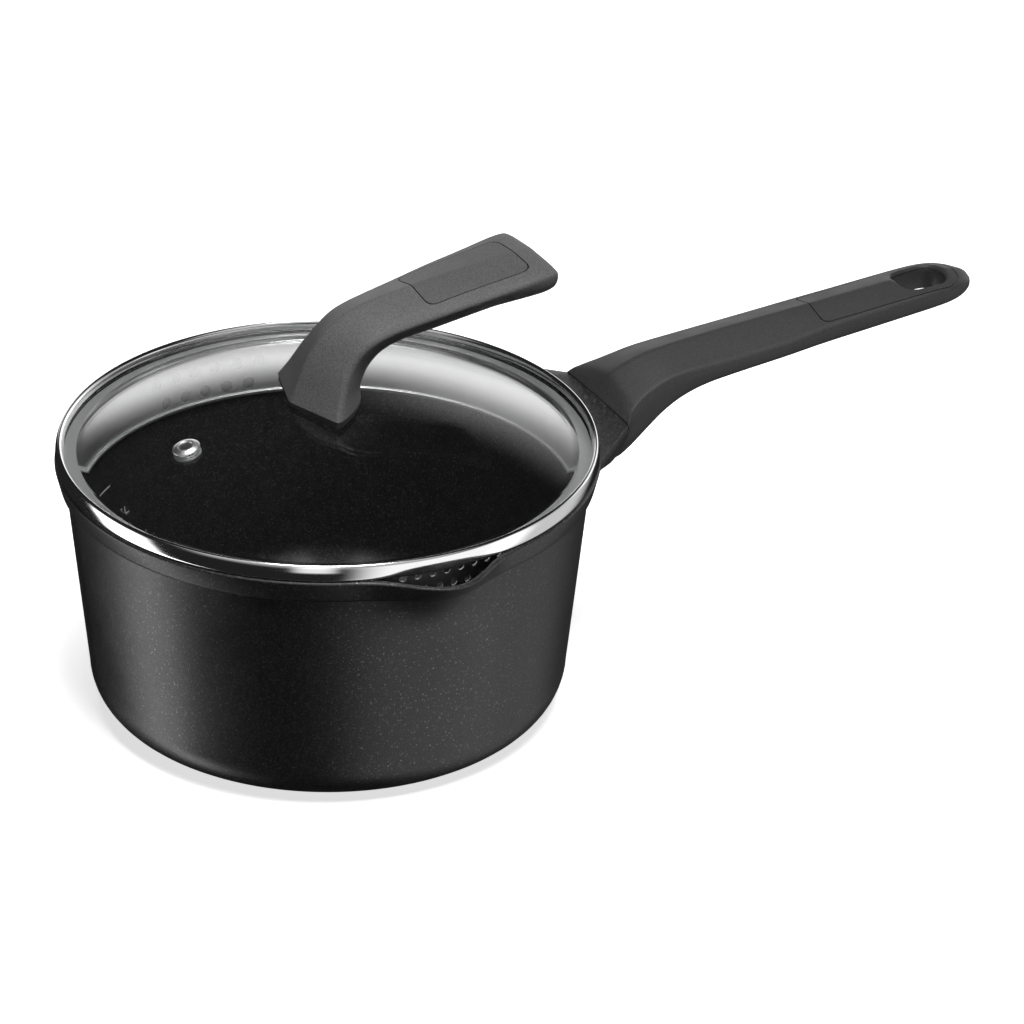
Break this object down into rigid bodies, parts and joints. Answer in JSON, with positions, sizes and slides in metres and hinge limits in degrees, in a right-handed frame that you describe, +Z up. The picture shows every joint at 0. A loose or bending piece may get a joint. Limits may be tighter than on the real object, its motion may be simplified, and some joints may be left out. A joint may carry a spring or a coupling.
{
  "type": "saucepan with glass lid",
  "caption": "Cast saucepan with a pouring spout, a long handle and a domed glass lid with a strainer ring and a cantilever knob.",
  "frame": {"origin": "centre of the base, on the surface that the pan stands on", "axes": "+X along the handle, +Z up, spout at -Y"},
  "size_m": [0.3832, 0.2199, 0.169],
  "materials": {
    "cast_aluminium": "dark non-stick coating with a fine metallic fleck",
    "steel": "brushed",
    "polished_steel": "polished",
    "bakelite": "fine matte texture",
    "bakelite_panel": "fine matte texture",
    "glass": "clear tempered",
    "silicone": "matte",
    "brass": "machined"
  },
  "bodies": {
    "pan": {"pan_body": "cast_aluminium", "induction_base": "steel", "handle_grip": "bakelite", "handle_inlay": "bakelite_panel", "handle_washer": "steel", "handle_screw": "steel"},
    "lid_rim": {"rim_hoop": "polished_steel"},
    "lid": {"strainer_skirt": "polished_steel", "lid_glass": "glass", "vent_eyelet": "polished_steel", "knob_body": "bakelite", "knob_inlay": "bakelite_panel", "knob_gasket": "silicone", "knob_insert": "brass", "knob_seal": "silicone", "knob_washer": "steel", "knob_screw": "steel"}
  },
  "joints": [
    {"name": "lid_lift", "type": "slide", "parent": "pan", "child": "lid_rim", "axis": [0, 0, 1], "range_m": [0, 0.12]},
    {"name": "lid_turn", "type": "hinge", "parent": "lid_rim", "child": "lid", "pos_m": [0, 0, 0], "axis": [0, 0, 1], "continuous": true}
  ]
}
